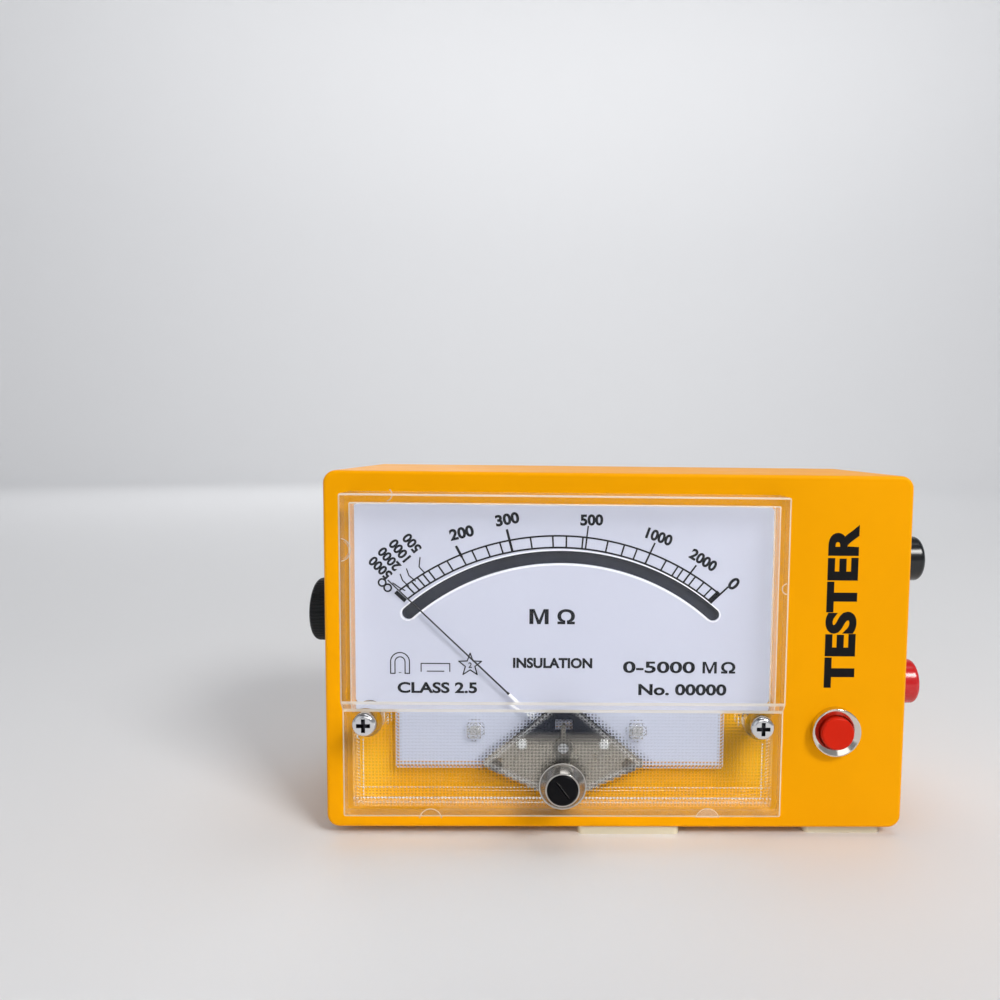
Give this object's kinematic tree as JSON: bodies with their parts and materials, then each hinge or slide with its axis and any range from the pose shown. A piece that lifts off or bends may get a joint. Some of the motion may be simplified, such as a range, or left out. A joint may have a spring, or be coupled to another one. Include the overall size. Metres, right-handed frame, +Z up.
{
  "type": "insulation resistance tester",
  "caption": "Handheld insulation tester in a yellow case with a clear-fronted moving-coil meter, red push button, side knob and two side test sockets.",
  "frame": {"origin": "centre of the whole object's bounding box, on the plane of the foot pads' undersides", "axes": "+Z up, front face with the meter towards -Y, +X to the right as seen from the front"},
  "size_m": [0.1524, 0.059, 0.086],
  "materials": {
    "case_yellow": "satin moulded ABS, warm yellow",
    "foot_cream": "matt cream rubber pad",
    "cover_clear": "clear moulded acrylic, polished",
    "zinc": "zinc plated screw",
    "collar_metal": "bright turned collar",
    "adjuster_black": "black moulded plastic",
    "dial_white": "pale painted dial plate",
    "mirror_dark": "dark mirror foil",
    "frame_metal": "die-cast, plain",
    "bridge_dark": "dark coated bridge",
    "magnet_steel": "cast magnet",
    "iron": "soft iron",
    "brass": "turned brass",
    "lever_metal": "sheet brass",
    "spring_bronze": "phosphor bronze strip",
    "pivot_steel": "polished steel pivot",
    "coil_copper": "enamelled copper winding",
    "pointer_black": "black painted aluminium",
    "cap_red": "red moulded cap",
    "chrome_ring": "chrome plated",
    "body_black": "black thermoset",
    "nut_plated": "nickel plated",
    "spring_steel": "spring wire",
    "knob_black": "black knurled plastic",
    "pot_metal": "plated can and bushing",
    "socket_black": "glossy black insulator",
    "socket_red": "glossy red insulator",
    "sleeve_brass": "plated brass sleeve",
    "board_green": "glass-fibre board",
    "core_iron": "laminated core",
    "winding_tape": "taped winding",
    "capacitor_sleeve": "sleeved can",
    "cell_wrap": "plain wrapped cell",
    "contact_plate": "plated contact"
  },
  "bodies": {
    "case": {"front_case": "case_yellow", "rear_case": "case_yellow", "case_screw_1": "zinc", "case_screw_2": "zinc", "case_screw_3": "zinc", "case_screw_4": "zinc", "foot_front_mid": "foot_cream", "foot_front_right": "foot_cream", "foot_rear": "foot_cream", "meter_cover": "cover_clear", "cover_screw_left": "zinc", "cover_screw_right": "zinc", "adjuster_collar": "collar_metal", "dial_plate": "dial_white", "mirror_strip": "mirror_dark", "dial_screw_left": "zinc", "dial_screw_right": "zinc", "meter_frame": "frame_metal", "pole_piece": "iron", "magnet": "magnet_steel", "core": "iron", "front_bridge": "bridge_dark", "bridge_screw_left": "zinc", "bridge_screw_right": "zinc", "rear_bridge": "frame_metal", "jewel_front": "brass", "jewel_rear": "brass", "hairspring": "spring_bronze", "button_bezel": "chrome_ring", "button_body": "body_black", "button_nut": "nut_plated", "button_spring": "spring_steel", "pot_body": "pot_metal", "pot_nut": "nut_plated", "socket_black": "socket_black", "socket_red": "socket_red", "sleeve_black": "sleeve_brass", "sleeve_red": "sleeve_brass", "nut_black": "nut_plated", "nut_red": "nut_plated", "circuit_board": "board_green", "transformer_core": "core_iron", "transformer_winding": "winding_tape", "capacitor": "capacitor_sleeve", "cell_1": "cell_wrap", "cell_2": "cell_wrap", "cell_3": "cell_wrap", "cell_4": "cell_wrap", "battery_contacts": "contact_plate"},
    "movement": {"pointer": "pointer_black", "balance_weight": "brass", "moving_coil": "coil_copper", "pivot_front": "pivot_steel", "pivot_rear": "pivot_steel"},
    "adjuster": {"zero_adjuster": "adjuster_black"},
    "lever": {"zero_lever": "lever_metal"},
    "button": {"button_cap": "cap_red"},
    "knob_body": {"knob": "knob_black", "pot_shaft": "pot_metal"},
    "door": {"battery_door": "case_yellow"}
  },
  "joints": [
    {"name": "pointer_swing", "type": "hinge", "parent": "case", "child": "movement", "pos_m": [-0.0137, -0.0205, 0.02333], "axis": [0, 1, 0], "range_deg": [0, 91.6], "stiffness_Nm_per_rad": 0.00002, "deforming": ["hairspring"]},
    {"name": "zero_adjuster_turn", "type": "hinge", "parent": "case", "child": "adjuster", "pos_m": [-0.0137, -0.0275, 0.01513], "axis": [0, 1, 0], "range_deg": [-45, 45]},
    {"name": "zero_lever_rock", "type": "hinge", "parent": "case", "child": "lever", "pos_m": [-0.0137, -0.0248, 0.02333], "axis": [0, 1, 0], "range_deg": [-6.8, 6.8]},
    {"name": "button_press", "type": "slide", "parent": "case", "child": "button", "axis": [0, 1, 0], "range_m": [0, 0.002], "stiffness_N_per_m": 1000, "deforming": ["button_spring"]},
    {"name": "knob_turn", "type": "hinge", "parent": "case", "child": "knob_body", "pos_m": [-0.0721, -0.0025, 0.0502], "axis": [-1, 0, 0], "range_deg": [-150, 150]},
    {"name": "battery_door_swing", "type": "hinge", "parent": "case", "child": "door", "pos_m": [-0.0011, 0.0285, 0.0084], "axis": [-1, 0, 0], "range_deg": [0, 90]}
  ],
  "couplings": [
    {"joint": "zero_lever_rock", "follows": "zero_adjuster_turn", "ratio": -0.151}
  ]
}
